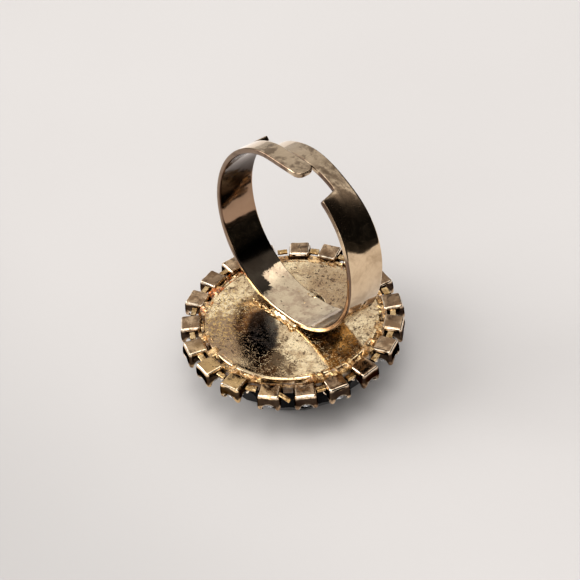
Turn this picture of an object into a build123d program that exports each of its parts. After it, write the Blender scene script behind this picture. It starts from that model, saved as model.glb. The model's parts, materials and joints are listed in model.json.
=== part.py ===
from build123d import *
import os
from math import cos, radians, sin

# Adjustable cocktail ring with a round stone and a chain of small stones round its back plate.
# Millimetres, +Z up. The ring stands on its stone with the hoop up, and the origin is the
# middle of the stone's flat table. The finger goes through the hoop along Y.

# centre stone, from its flat back down to its table
stone_radius = 8.45
stone_depth = 5.4
stone_facets = 16
upper_facet_start = 2.1     # depths below the back where each row of facets begins
lower_facet_start = 4.2
lower_facet_radius = 7.95
table_radius = 7.1

# back plate, and the glue between it and the stone
plate_radius = 8.8
plate_thickness = 0.5
plate_edge_round = 0.12
bed_radius = 8.2
bed_thickness = 0.15
plate_top = stone_depth + bed_thickness + plate_thickness

# shank: one plated strip, bent to a hoop that is open at the top
left_radius = 8.83          # inner radii of the two arms
right_radius = 8.62
flat_half = 0.57            # half of the short straight stretch at the foot of the hoop
band_thickness = 0.57
band_width = 4.25
band_x = -0.48              # the foot is soldered on off-centre
band_y = 1.42
foot_height = 0.5           # inner face of the foot above the plate
band_lean = 4.3             # degrees that the hoop leans towards +Y
hinge_angle = 20.0          # degrees round the hoop from the foot to each bending line
hinge_clearance = 0.03

# the two ends of the strip: a slanted step to half width, then a tongue
left_step = 137.5
right_step = 147.5
step_slant = 14.0
tongue_gap = 0.12           # space between the tongues, which lie side by side
tongue_corner = 0.8
right_tip = 213.0
left_bend_start = 150.0     # where the left arm turns more tightly, to a straight tongue
left_bend_radius = 6.5
left_tongue_straight = 4.3

# solder pool under the shank
solder_long = 3.0
solder_wide = 2.75
solder_height = 0.3
solder_taper = 0.4

# chain of square stone cups round the plate's rim
cup_count = 19
first_cup = 2.5             # degrees from +X, seen from above
chain_radius = 10.13
chain_rise = 0.1            # height of the cups' backs above the plate, on average
chain_tilt = 1.5            # degrees that the ring of cups is tipped
chain_high_side = 135.0     # direction of its high side
short_waves = 5             # the spacing drifts in two waves round the ring: how many times,
short_drift = 1.2           # by how many degrees, and from which phase
short_start = -44.0
long_waves = 2
long_drift = 0.6
long_start = 135.0
yaw_size = 3.0              # degrees that single cups are twisted and tipped, and how fast the
yaw_step = 2.1              # two change from cup to cup, in radians
nod_size = 2.5
nod_step = 3.7
nod_start = 1.0
cup_wide = 2.2
cup_deep = 2.1
cup_corner = 0.28
cup_height = 1.65
cup_sheet = 0.18
arch_radius = 0.66
arch_drop = 0.1
claw_root = 1.34            # distances from the cup's middle, along its diagonal
claw_point = 0.75
claw_drop = 0.28
claw_wide = 0.4
claw_overlap = 0.4

# round clear stones in the cups
crystal_sides = 8
crystal_radius = 0.84
crystal_girdle = 1.6        # depth of the widest line below the cup's back
crystal_crown = 0.3
crystal_table = 0.5
crystal_pavilion = 0.9
crystal_culet = 0.12

# bars between the cups, and the cut one where the chain's ends meet
seam_after = 16
link_depth = 0.5
link_tall = 0.3
link_thick = 0.5
tail_start_out = 0.35       # how far out from the cup's middle the tail leaves the wall
tail_start_down = 0.2
tail_length = 0.95
tail_out = 0.3
tail_fall = 0.5
tail_wide = 0.5
tail_sheet = 0.2

# glue and plating residue between the plate's rim and the cups
rim_glue_outer = 9.4
rim_glue_bottom = 1.3
rim_glue_bevel = 0.3
rim_glue_crest = 0.15

plate_plane = Plane(origin=(0, 0, plate_top))
stone_back = plate_plane.offset(-plate_thickness - bed_thickness)

# the band's plane stands in the middle of its width: X to the right, Y up the hoop from the
# foot's inner face, and Z out of the near side
band_plane = Plane(
    origin=(band_x, band_y, plate_top + foot_height),
    x_dir=(1, 0, 0),
    z_dir=(0, -cos(radians(band_lean)), sin(radians(band_lean))),
)
left_middle = left_radius + band_thickness / 2
right_middle = right_radius + band_thickness / 2
left_centre = (-flat_half, left_radius)
right_centre = (flat_half, right_radius)
half_circle = 180
foot_angle = 270            # direction of the foot from an arm's centre

os.makedirs("parts", exist_ok=True)


def save(piece, name):
    piece.part.label = name
    export_step(piece.part, f"parts/{name}.step")


def hoop_point(side, degrees):
    """Point of the strip's middle line, counted from the foot; side is -1 left, +1 right."""
    inner, middle = (left_radius, left_middle) if side < 0 else (right_radius, right_middle)
    turn = radians(degrees)
    return (side * (flat_half + middle * sin(turn)), inner - middle * cos(turn))


def step_cutter(side, degrees, near):
    """Removes the near (+1) or far (-1) half of the width beyond a slanted step."""
    turn = radians(degrees)
    slant = radians(step_slant)
    u, v = hoop_point(side, degrees)
    corner = band_plane.from_local_coords(Vector(u, v, near * band_width / 2))
    along = band_plane.x_dir * (side * cos(turn)) + band_plane.y_dir * sin(turn)
    outwards = band_plane.x_dir * (side * sin(turn)) - band_plane.y_dir * cos(turn)
    facing = along * cos(slant) + band_plane.z_dir * (near * sin(slant))
    reach = 4 * left_radius
    with BuildPart() as cutter:
        with BuildSketch(Plane(origin=corner, x_dir=outwards, z_dir=facing)):
            Rectangle(reach, reach)
        extrude(amount=reach)
        split(
            bisect_by=band_plane.offset(-near * tongue_gap / 2),
            keep=Keep.TOP if near > 0 else Keep.BOTTOM,
        )
    return cutter.part


# --- shank, soldered base: the foot of the strip, with a round socket at each end ---
with BuildPart() as shank_base:
    with BuildSketch(band_plane):
        with BuildLine():
            CenterArc(left_centre, left_middle, foot_angle - hinge_angle, hinge_angle)
            Line(hoop_point(-1, 0), hoop_point(1, 0))
            CenterArc(right_centre, right_middle, foot_angle, hinge_angle)
        trace(line_width=band_thickness)
        with Locations(hoop_point(-1, hinge_angle), hoop_point(1, hinge_angle)):
            Circle(band_thickness / 2 + hinge_clearance, mode=Mode.SUBTRACT)
    extrude(amount=band_width / 2, both=True)
    split(bisect_by=plate_plane, keep=Keep.TOP)
save(shank_base, "shank_base")

# --- left arm: round root, full width up to its step, then the straight near-side tongue ---
bend = radians(left_bend_start)
shift = left_radius - left_bend_radius
bend_centre = (
    left_centre[0] - shift * sin(bend),
    left_centre[1] - shift * cos(bend),
)
bend_middle = left_bend_radius + band_thickness / 2
tongue_height = bend_centre[1] + bend_middle
with BuildPart() as shank_arm_left:
    with BuildSketch(band_plane):
        with BuildLine():
            main_turn = left_bend_start - hinge_angle
            CenterArc(left_centre, left_middle, foot_angle - left_bend_start, main_turn)
            CenterArc(bend_centre, bend_middle, half_circle / 2, half_circle - left_bend_start)
            Line(
                (bend_centre[0], tongue_height),
                (bend_centre[0] + left_tongue_straight, tongue_height),
            )
        trace(line_width=band_thickness)
        with Locations(hoop_point(-1, hinge_angle)):
            Circle(band_thickness / 2)
    extrude(amount=band_width / 2, both=True)
    add(step_cutter(-1, left_step, -1), mode=Mode.SUBTRACT)
    left_end = faces().filter_by(GeomType.PLANE).sort_by(Axis.X)[-1]
    fillet(left_end.edges().sort_by(SortBy.LENGTH)[:2], tongue_corner)
save(shank_arm_left, "shank_arm_left")

# --- right arm: round root, full width up to its step, then the far-side tongue ---
with BuildPart() as shank_arm_right:
    with BuildSketch(band_plane):
        with BuildLine():
            start_angle = foot_angle + hinge_angle
            CenterArc(right_centre, right_middle, start_angle, right_tip - hinge_angle)
        trace(line_width=band_thickness)
        with Locations(hoop_point(1, hinge_angle)):
            Circle(band_thickness / 2)
    extrude(amount=band_width / 2, both=True)
    add(step_cutter(1, right_step, 1), mode=Mode.SUBTRACT)
    right_end = faces().filter_by(GeomType.PLANE).sort_by(Axis.X)[0]
    fillet(right_end.edges().sort_by(SortBy.LENGTH)[:2], tongue_corner)
save(shank_arm_right, "shank_arm_right")

# --- back plate: flat round disc with softened edges ---
with BuildPart() as back_plate:
    with BuildSketch(plate_plane):
        Circle(plate_radius)
    extrude(amount=-plate_thickness)
    fillet(back_plate.edges(), plate_edge_round)
save(back_plate, "back_plate")

# --- solder: a low pool on the plate that wets the foot of the shank on all sides ---
solder_plane = Plane(origin=(band_x, band_y, plate_top))
with BuildPart() as shank_solder:
    with BuildSketch(solder_plane):
        Ellipse(solder_long, solder_wide)
    with BuildSketch(solder_plane.offset(solder_height)):
        Ellipse(solder_long - solder_taper, solder_wide - solder_taper)
    loft()
    add(shank_base.part, mode=Mode.SUBTRACT)
save(shank_solder, "shank_solder")

# --- glue bed between the plate's front and the stone's flat back ---
with BuildPart() as stone_adhesive:
    with BuildSketch(stone_back):
        Circle(bed_radius)
    extrude(amount=bed_thickness)
save(stone_adhesive, "stone_adhesive")


# --- centre stone: flat back, upright girdle, two staggered rows of facets, flat table ---
def facet_row(top_radius, top_depth, low_radius, low_depth, turn):
    """Faceted cone through two depths, as tall as the stone, to keep what is inside it."""
    slope = (low_radius - top_radius) / (low_depth - top_depth)
    with BuildPart() as cone:
        for depth in (0, stone_depth):
            radius = top_radius + slope * (depth - top_depth)
            with BuildSketch(stone_back.offset(-depth)):
                RegularPolygon(radius, stone_facets, major_radius=False, rotation=turn)
        loft()
    return cone.part


upper_row = (stone_radius, upper_facet_start, lower_facet_radius, lower_facet_start)
lower_row = (lower_facet_radius, lower_facet_start, table_radius, stone_depth)
with BuildPart() as centre_stone:
    with BuildSketch(stone_back):
        Circle(stone_radius)
    extrude(amount=-stone_depth)
    add(facet_row(*upper_row, 0), mode=Mode.INTERSECT)
    add(facet_row(*lower_row, half_circle / stone_facets), mode=Mode.INTERSECT)
save(centre_stone, "centre_stone")


# --- chain of cups: each cup is a pressed box, closed towards the finger, with four claws ---
def cup_angle(index):
    """Even spacing, with the slow drift of a chain laid by hand."""
    angle = first_cup + index * 360 / cup_count
    short = short_drift * sin(radians(short_waves * angle + short_start))
    long = long_drift * sin(radians(long_waves * angle + long_start))
    return angle + short + long


def cup_plane(index):
    """Plane of a cup's back: X points out from the plate's middle, Z points to the finger."""
    tip_axis = (-sin(radians(chain_high_side)), cos(radians(chain_high_side)), 0)
    ring = plate_plane.offset(chain_rise).location * Location((0, 0, 0), tip_axis, -chain_tilt)
    spoke = ring * Location((0, 0, 0), (0, 0, cup_angle(index)))
    yaw = yaw_size * sin(yaw_step * index)
    nod = nod_size * sin(nod_step * index + nod_start)
    return Plane(spoke * Location((chain_radius, 0, 0), (0, nod, yaw)))


def cup_block(index):
    """The closed outer shape of a cup, to trim what touches it."""
    with BuildPart() as block:
        with BuildSketch(cup_plane(index)):
            RectangleRounded(cup_deep, cup_wide, cup_corner)
        extrude(amount=-cup_height)
    return block.part


def make_cup(index):
    back = cup_plane(index)
    with BuildPart() as cup:
        with BuildSketch(back):
            RectangleRounded(cup_deep, cup_wide, cup_corner)
        extrude(amount=-cup_height)
        with BuildSketch(back.offset(-cup_sheet)):
            inner_corner = cup_corner - cup_sheet / 2
            RectangleRounded(cup_deep - 2 * cup_sheet, cup_wide - 2 * cup_sheet, inner_corner)
        extrude(amount=-cup_height, mode=Mode.SUBTRACT)
        for across in (back.x_dir, back.y_dir):
            with BuildSketch(Plane(back.origin, x_dir=across, z_dir=across.cross(back.z_dir))):
                with Locations((0, -cup_height - arch_drop)):
                    Circle(arch_radius)
            extrude(amount=cup_wide, both=True, mode=Mode.SUBTRACT)
        for corner in range(4):
            diagonal = Plane(back.location * Location((0, 0, 0), (0, 0, 45 + 90 * corner)))
            with BuildSketch(Plane(back.origin, x_dir=diagonal.x_dir, z_dir=-diagonal.y_dir)):
                with BuildLine():
                    Polyline(
                        (claw_root, -cup_height + claw_overlap),
                        (claw_root, -cup_height),
                        (claw_point, -cup_height - claw_drop),
                        (claw_point, -cup_height - claw_drop + cup_sheet),
                        (claw_root - cup_sheet, -cup_height + cup_sheet / 2),
                        (claw_root - cup_sheet, -cup_height + claw_overlap),
                        close=True,
                    )
                make_face()
            extrude(amount=claw_wide / 2, both=True)
    return cup


def make_crystal(index):
    """Faceted stone: a low crown under the claws and a pointed back inside the cup."""
    girdle = cup_plane(index).offset(-crystal_girdle)
    with BuildPart() as crystal:
        for end_radius, height in (
            (crystal_table, -crystal_crown),
            (crystal_culet, crystal_pavilion),
        ):
            with BuildSketch(girdle):
                RegularPolygon(crystal_radius, crystal_sides, major_radius=False)
            with BuildSketch(girdle.offset(height)):
                RegularPolygon(end_radius, crystal_sides, major_radius=False)
            loft()
    return crystal


for number in range(cup_count):
    save(make_cup(number), f"cup_{number + 1:02d}")
    save(make_crystal(number), f"rhinestone_{number + 1:02d}")

# --- links: a short flat bar from each cup's wall to the next, none across the seam ---
with BuildPart() as chain_links:
    for number in range(cup_count):
        if number != seam_after:
            following = (number + 1) % cup_count
            here = cup_plane(number).offset(-link_depth).origin
            there = cup_plane(following).offset(-link_depth).origin
            with BuildSketch(Plane(here, x_dir=(0, 0, 1), z_dir=there - here)):
                Rectangle(link_tall, link_thick)
            extrude(amount=(there - here).length)
    for number in range(cup_count):
        add(cup_block(number), mode=Mode.SUBTRACT)
save(chain_links, "chain_links")

# --- loose link tail: the cut end of the last link, a short tab bent down at the seam ---
seam_cup = cup_plane(seam_after).offset(-link_depth)
wall = cup_wide / 2


def tail_point(share, fall_share):
    """Point of the tail's middle line, a share of its length along."""
    return seam_cup.from_local_coords(
        (
            tail_start_out + tail_out * share,
            wall - cup_sheet + (tail_length + cup_sheet) * share,
            -tail_start_down - tail_fall * fall_share,
        )
    )


with BuildPart() as link_tail:
    with BuildLine():
        tail_path = Spline(tail_point(0, 0), tail_point(0.5, 0.35), tail_point(1, 1))
    with BuildSketch(Plane(tail_path @ 0, x_dir=seam_cup.z_dir, z_dir=tail_path % 0)):
        Rectangle(tail_sheet, tail_wide)
    sweep()
    add(cup_block(seam_after), mode=Mode.SUBTRACT)
save(link_tail, "link_tail")

# --- rim adhesive: fills the valley between the plate's rim, the stone and the cups ---
with BuildPart() as rim_adhesive:
    with BuildSketch(Plane(plate_plane.origin, x_dir=(1, 0, 0), z_dir=(0, -1, 0))):
        with BuildLine():
            Polyline(
                (stone_radius, 0),
                (plate_radius, rim_glue_crest),
                (rim_glue_outer, 0),
                (rim_glue_outer, -rim_glue_bottom + rim_glue_bevel),
                (plate_radius, -rim_glue_bottom),
                (stone_radius, -rim_glue_bottom),
                (stone_radius, -plate_thickness),
                (plate_radius, -plate_thickness),
                (plate_radius, 0),
                close=True,
            )
        make_face()
    revolve(axis=Axis.Z)
    for number in range(cup_count):
        add(cup_block(number), mode=Mode.SUBTRACT)
    add(chain_links.part, mode=Mode.SUBTRACT)
save(rim_adhesive, "rim_adhesive")
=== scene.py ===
import json
import random
from math import cos, degrees, exp, hypot, pi, radians, sin, sqrt, tan, tau

import bmesh
import bpy
from mathutils import Matrix, Vector, noise
from mathutils.geometry import delaunay_2d_cdt


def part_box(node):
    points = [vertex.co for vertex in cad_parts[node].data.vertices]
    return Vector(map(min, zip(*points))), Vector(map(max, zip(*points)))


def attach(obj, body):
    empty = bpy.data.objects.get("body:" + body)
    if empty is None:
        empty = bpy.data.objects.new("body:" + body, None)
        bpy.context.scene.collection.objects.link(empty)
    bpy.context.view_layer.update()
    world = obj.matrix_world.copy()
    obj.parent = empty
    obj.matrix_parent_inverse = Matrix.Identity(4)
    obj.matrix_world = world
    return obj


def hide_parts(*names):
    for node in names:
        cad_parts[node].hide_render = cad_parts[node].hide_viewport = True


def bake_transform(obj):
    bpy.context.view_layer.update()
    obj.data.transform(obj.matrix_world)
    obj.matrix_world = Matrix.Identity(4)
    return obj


# Cocktail ring standing on its stone: the looks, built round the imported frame.
# Shapes are worked out in millimetres in the frame's axes and scaled to metres at the end.

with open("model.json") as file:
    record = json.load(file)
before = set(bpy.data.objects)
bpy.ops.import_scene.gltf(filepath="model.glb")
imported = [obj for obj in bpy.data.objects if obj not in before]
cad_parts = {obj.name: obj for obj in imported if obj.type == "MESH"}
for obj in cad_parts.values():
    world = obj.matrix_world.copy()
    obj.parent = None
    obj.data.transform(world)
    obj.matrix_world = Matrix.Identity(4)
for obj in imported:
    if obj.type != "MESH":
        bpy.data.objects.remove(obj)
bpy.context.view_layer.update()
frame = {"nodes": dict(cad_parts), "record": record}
MM = 0.001
UP = Vector((0, 0, 1))

# --- places read from the frame, in millimetres ---


def frame_box(node):
    """Lowest and highest corner of a node."""
    low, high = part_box(node)
    return low / MM, high / MM


plate_low, plate_high = frame_box("back_plate")
plate_radius = (plate_high.x - plate_low.x) / 2
plate_top = plate_high.z
plate_bottom = plate_low.z
stone_high = frame_box("centre_stone")[1]

# the band's axes in the middle of its width: across (u), up the hoop (v), to its near side (w)
finger_hole = next(m for m in frame["record"]["mounts"] if m["name"] == "finger_hole")
right_centre = Vector(finger_hole["pos_m"]) / MM
right_radius = finger_hole["dims"]["r_mm"]
band_half = finger_hole["dims"]["length_mm"] / 2
band_w = Vector(finger_hole["axis"]).normalized()
band_u = Vector((1, 0, 0))
band_v = band_w.cross(band_u)

# --- sizes of the strip ---
left_radius = 8.83
flat_half = 0.57            # half of the straight stretch at the foot
band_thickness = 0.57
band_edge = 0.15            # rounding of the polished edges
left_step = 137.5           # degrees round the hoop of the steps to half width
right_step = 147.5
step_slant = 14.0
tongue_gap = 0.12
left_bend = 150.0           # where the left arm turns more tightly
left_bend_radius = 6.5
left_straight = 4.3
right_tip = 213.0
foot_overlap = 1.5          # how far each half's flat pattern runs past the foot's middle
plain_corner = 0.05         # corner radii of the flat pattern
step_corner = 0.22
notch_corner = 0.25
tongue_corner = 0.8
band_ripple = 0.012         # dents in the strip, from wear
grid_spacing = 0.2          # between the points inside the strip's faces
left_turn = radians(left_bend)
band_foot = right_centre - band_u * flat_half - band_v * right_radius


# --- sizes of the cups, links and drops of solder ---
cup_deep = 2.1
cup_wide = 2.2
cup_corner = 0.28
cup_height = 1.65
cup_sheet = 0.15
cup_back_edge = 0.22
cup_flare = 0.16            # how far the walls spread from the back to the lip
arch_radius = 0.68          # the arch cut into each wall
arch_drop = 0.1
claw_half = 0.27
claw_length = 0.72
claw_curl = 0.22
cup_names = sorted(n for n in frame["nodes"] if n.startswith("cup_"))
seam_after = 16             # the chain's two ends meet after this cup
link_drop = 0.42            # depth of the links below the cups' backs
link_thick = 0.30
tail_wide = 0.5
tail_thick = 0.2
beads_from, beads_to = -4.6, 1.6
bare_rim_angle = radians(-58)   # where no glue lies over the plate's rim

# --- the table, the lights and the camera ---
floor_reach = 3.0           # metres
floor_bright_radius = 118.0
floor_dark_radius = 126.0
floor_dark_side = (0.8, 0.6, 0)
ceiling_direction = (-0.276, 0.0, 0.961)
lamp_direction = (0.10, -0.05, 0.99)
side_direction = (0.45, 0.60, 0.66)
wall_direction = (-0.98, -0.1, 0.1)
near_lamp_direction = (-0.60, -0.65, 0.46)
window_direction = (0.50, -0.75, 0.42)
light_colour = (1.0, 0.975, 0.95)
backdrop_colour = (0.665, 0.64, 0.625)
camera_place = (94.757, -72.743, 116.196)
camera_back = (0.5916, -0.4546, 0.6659)
camera_right = (0.6544, 0.7531, -0.0672)
camera_lens = 101.3
camera_sensor = 36


# ---------------------------------------------------------------- small tools


def smooth(low, high, value):
    """0 below low, 1 above high, and a smooth step between them."""
    share = min(1.0, max(0.0, (value - low) / (high - low)))
    return share * share * (3 - 2 * share)


def bump(centre, width, value):
    """A smooth hump of height 1 at centre, falling off over width."""
    return exp(-(((value - centre) / width) ** 2))


def wobble(point, scale, seed=0.0):
    """Smooth noise between -1 and 1 whose features are about scale millimetres wide."""
    return noise.noise(Vector(point) / scale + Vector((seed, 1.7 * seed, -seed)))


def add_piece(name, points, faces, material, body="head", stands_for=(), shade=True):
    """A mesh object from points in millimetres, which rides on body when body is given."""
    mesh = bpy.data.meshes.new(name)
    mesh.from_pydata([Vector(p) * MM for p in points], [], faces)
    mesh.validate()
    for polygon in mesh.polygons:
        polygon.use_smooth = shade
    mesh.set_sharp_from_angle(angle=radians(50))
    piece = bpy.data.objects.new(name, mesh)
    bpy.context.scene.collection.objects.link(piece)
    mesh.materials.append(material)
    if body:
        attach(piece, body)
    if stands_for:
        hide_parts(*stands_for)
    return piece


def paint(piece, name, values):
    """A number for every point of a piece, which its material reads by name."""
    layer = piece.data.attributes.new(name, "FLOAT", "POINT")
    for point, value in zip(layer.data, values):
        point.value = value


def loft(rings, cap=True, closed=False):
    """Points and faces of a tube through rings of equally many points. Its ends are capped, open,
    or joined to each other."""
    count = len(rings[0])
    points = [p for ring in rings for p in ring]
    faces = []
    for row in range(len(rings) if closed else len(rings) - 1):
        low, high = row * count, (row + 1) % len(rings) * count
        for i in range(count):
            j = (i + 1) % count
            faces.append((low + i, low + j, high + j, high + i))
    if cap:
        faces.append(tuple(reversed(range(count))))
        faces.append(tuple(range((len(rings) - 1) * count, len(rings) * count)))
    return points, faces


def join(points, faces, more_points, more_faces):
    """Adds one mesh's points and faces to another's."""
    base = len(points)
    points += more_points
    faces += [tuple(base + i for i in face) for face in more_faces]


# ---------------------------------------------------------------- materials

# colours are linear red, green and blue
nickel = (0.485, 0.375, 0.255)
dull_nickel = (0.355, 0.265, 0.172)
cream = (0.64, 0.535, 0.385)
dull_cream = (0.47, 0.365, 0.265)
worn_nickel = (0.45, 0.365, 0.27)
smudge_brown = (0.12, 0.08, 0.05)
# painted reflection on the left arm's inner face
arm_reflection_tan = (0.215, 0.135, 0.09)
arm_reflection_brown = (0.030, 0.020, 0.015)
# painted shade on the foot's inner face
painted_foot_shade = (0.12, 0.09, 0.07)
near_edge_dark = (0.085, 0.052, 0.038)
tar_black = (0.006, 0.005, 0.005)

champagne = (0.90, 0.755, 0.51)
dull_champagne = (0.70, 0.55, 0.35)
mottle_brown = (0.30, 0.20, 0.125)
# painted reflection on the plate's left part, and its darker far side
dark_zone_brown = (0.275, 0.18, 0.115)
grain_gold = (0.70, 0.49, 0.20)
corroded_brown = (0.13, 0.08, 0.045)
soot_black = (0.034, 0.033, 0.036)
curl_brown = (0.15, 0.09, 0.05)
pit_brown = (0.09, 0.055, 0.035)

cup_shade = (0.13, 0.08, 0.048)
cup_gilt = (0.66, 0.46, 0.22)
cup_wall_dark = (0.022, 0.014, 0.011)
# painted highlight on the cups' back edges and lips
cup_edge_highlight = (0.86, 0.76, 0.62)
white = (1, 1, 1)
dim_reflection = (0.10, 0.07, 0.06)

amber_brown = (0.30, 0.15, 0.045)
residue_gold = (0.62, 0.43, 0.21)
amber_red = (0.50, 0.12, 0.012)
# grime specks, and painted shade down in the glue's valley
glue_dirt_and_shade = (0.045, 0.024, 0.012)
dust_grey = (0.5, 0.47, 0.43)

paper_shade = (0.74, 0.72, 0.715)
paper_light = (0.80, 0.785, 0.78)
dark_room = (0.02, 0.018, 0.016)

# over the plate: down towards the camera's side, and to the camera's left
down_the_plate = (0.839, -0.544, 0)
left_on_plate = (-0.574, -0.82, 0)


def start_material(name):
    """A material and its empty node tree."""
    material = bpy.data.materials.new(name)
    material.use_nodes = True
    material.node_tree.nodes.clear()
    return material, material.node_tree


def add(tree, kind, inputs=None, **settings):
    """A shader node with its settings; each input is a value or another node's output. The
    helpers below find the node tree from the outputs that they are given."""
    made = tree.nodes.new("ShaderNode" + kind)
    for key, value in settings.items():
        setattr(made, key, value)
    for key, value in (inputs or {}).items():
        if isinstance(value, bpy.types.NodeSocket):
            tree.links.new(value, made.inputs[key])
        else:
            made.inputs[key].default_value = value
    return made


def millimetres(tree):
    """The piece's own coordinates in millimetres."""
    place = add(tree, "TexCoord").outputs["Object"]
    scaled = add(tree, "VectorMath", {0: place, "Scale": 1 / MM}, operation="SCALE")
    return scaled.outputs["Vector"]


def noise_map(place, size, detail=4.0, rough=0.55, twist=0.0):
    """Cloudy noise whose features are about size millimetres wide."""
    inputs = {"Vector": place, "Scale": 1 / size, "Detail": detail}
    inputs.update({"Roughness": rough, "Distortion": twist})
    return add(place.id_data, "TexNoise", inputs).outputs["Fac"]


def step_map(value, low, high, start=0.0, end=1.0):
    """A smooth step from start to end as value goes from low to high."""
    inputs = {"Value": value, "From Min": low, "From Max": high, "To Min": start, "To Max": end}
    made = add(value.id_data, "MapRange", inputs, interpolation_type="SMOOTHSTEP")
    return made.outputs["Result"]


def maths(operation, first, second=0.0):
    """A sum with two values, of which at least one is a node's output."""
    tree = (first if isinstance(first, bpy.types.NodeSocket) else second).id_data
    return add(tree, "Math", {0: first, 1: second}, operation=operation).outputs["Value"]


def product(first, *others):
    """All the values multiplied together."""
    for other in others:
        first = maths("MULTIPLY", first, other)
    return first


def largest(first, *others):
    """The largest of the values."""
    for other in others:
        first = maths("MAXIMUM", first, other)
    return first


def add_to(value, times, plus):
    """value * times + plus."""
    made = add(value.id_data, "Math", {0: value, 1: times, 2: plus}, operation="MULTIPLY_ADD")
    return made.outputs["Value"]


def parts_of(vector):
    """The X, Y and Z of a vector."""
    return add(vector.id_data, "SeparateXYZ", {0: vector}).outputs


def along(place, direction):
    """How far place lies along a direction."""
    made = add(place.id_data, "VectorMath", {0: place, 1: direction}, operation="DOT_PRODUCT")
    return made.outputs["Value"]


def mix(share, first, second):
    """Colour mix; colours are (r, g, b) or another node's output."""
    tree = share.id_data
    made = add(tree, "Mix", {0: share}, data_type="RGBA")
    colours = [s for s in made.inputs if s.type == "RGBA"]
    for socket, value in zip(colours, (first, second)):
        if isinstance(value, bpy.types.NodeSocket):
            tree.links.new(value, socket)
        else:
            socket.default_value = (*value, 1)
    return next(s for s in made.outputs if s.type == "RGBA")


def cover(colour, mask, strength, stain):
    """The colour, hidden by stain where mask is 1, as far as strength says."""
    return mix(product(mask, strength), colour, stain)


def spot(place, centre, size):
    """1 at a centre, falling to 0 over size millimetres along each axis."""
    tree = place.id_data
    offset = add(tree, "VectorMath", {0: place, 1: centre}, operation="SUBTRACT").outputs["Vector"]
    shrunk = add(tree, "VectorMath", {0: offset, 1: size}, operation="DIVIDE").outputs["Vector"]
    reach = add(tree, "VectorMath", {0: shrunk}, operation="LENGTH").outputs["Value"]
    return step_map(reach, 0.35, 1.0, 1.0, 0.0)


def plate_spot(place, x, y, wide, deep):
    """A spot on the plate's top."""
    return spot(place, (x, y, plate_top), (wide, deep, 3.0))


def finish_material(tree, colour, metal, roughness, height=None, depth=0.01, extra=None):
    """Principled surface with a bump of so many millimetres."""
    inputs = {"Base Color": colour, "Metallic": metal, "Roughness": roughness}
    if height is not None:
        relief = add(tree, "Bump", {"Height": height, "Distance": depth * MM, "Strength": 1.0})
        inputs["Normal"] = relief.outputs["Normal"]
    inputs.update(extra or {})
    surface = add(tree, "BsdfPrincipled", inputs)
    output = add(tree, "OutputMaterial")
    tree.links.new(surface.outputs["BSDF"], output.inputs["Surface"])


def cup_tones(place, colour):
    """Cups are shaded in broad patches, and gilded at the near side."""
    shade = step_map(noise_map(place, 3.2, 3, 0.5), 0.44, 0.60)
    colour = cover(colour, shade, 0.72, cup_shade)
    gilt = spot(place, (2.0, -9.8, plate_top), (7.5, 3.0, 4.0))
    return cover(colour, gilt, 0.6, cup_gilt)


def cup_wear(place, colour):
    """Cup walls are almost black in a band below the back edge and paler at the lip, with painted
    highlight lines along the back edge and the lip: (colour, reflection).
    """
    tree = place.id_data
    down = add(tree, "Attribute", attribute_name="down_the_wall").outputs["Fac"]
    rubbed = add(tree, "Attribute", attribute_name="edge_highlight").outputs["Fac"]
    ragged = noise_map(place, 0.5, 4, 0.6)
    # the walls are darkened to almost black in a band below the back edge
    dark_band = step_map(add_to(ragged, 0.4, down), 0.30, 0.40)
    pale = step_map(add_to(ragged, 1.1, down), 1.20, 1.45, 1.0, 0.12)
    dark_band = product(dark_band, pale)
    colour = cover(colour, dark_band, 0.93, cup_wall_dark)
    # painted highlight: pale lines along the back edge and the lip
    worn = product(rubbed, step_map(ragged, 0.36, 0.50))
    colour = cover(colour, worn, 0.9, cup_edge_highlight)
    return colour, {"Specular Tint": mix(dark_band, white, dim_reflection)}


def plated(name, bright, dull, stain, shine, stained=0.5, patch=1.2, grain=0.22, cups=False):
    """Plated sheet metal: two tones, dark tarnish in patches and specks, and fine grain."""
    material, tree = start_material(name)
    place = millimetres(tree)
    tone = step_map(noise_map(place, patch, 5, 0.65), 0.40, 0.60)
    colour = mix(tone, bright, dull)
    cloud = noise_map(place, patch * 0.6, 7, 0.75, 0.6)
    tarnish = step_map(cloud, 0.70 - 0.24 * stained, 0.84 - 0.24 * stained)
    if cups:
        colour = cup_tones(place, colour)
    colour = cover(colour, tarnish, 0.85, stain)
    extra = {}
    if cups:
        colour, extra = cup_wear(place, colour)
    specks = step_map(noise_map(place, grain, 4, 0.65), 0.61, 0.67)
    colour = cover(colour, specks, 0.8, stain)
    rough = add_to(cloud, 0.12, shine)
    rough = maths("ADD", rough, product(tarnish, 0.12))
    fine = noise_map(place, grain, 4, 0.6)
    finish_material(tree, colour, 1.0, rough, maths("SUBTRACT", fine, specks), 0.008, extra)
    return material


def worn_tongues(place, cloud, colour):
    """Thin plating on top of the hoop: the colour, and where it is worn and smudged."""
    across = parts_of(place)
    worn = step_map(add_to(cloud, 2.0, across["Z"]), 20.6, 22.2)
    blotches = step_map(noise_map(place, 1.9, 6, 0.72, 0.3), 0.48, 0.60)
    smudge = product(blotches, add_to(worn, 0.62, 0.12))
    right_top = product(step_map(across["X"], 0.5, 2.5), worn)
    clouded = step_map(noise_map(place, 2.6, 6, 0.7, 0.4), 0.40, 0.54)
    smudge = largest(smudge, product(clouded, right_top, 0.85))
    colour = cover(colour, worn, 0.65, worn_nickel)
    return mix(smudge, colour, smudge_brown), worn, smudge


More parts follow.
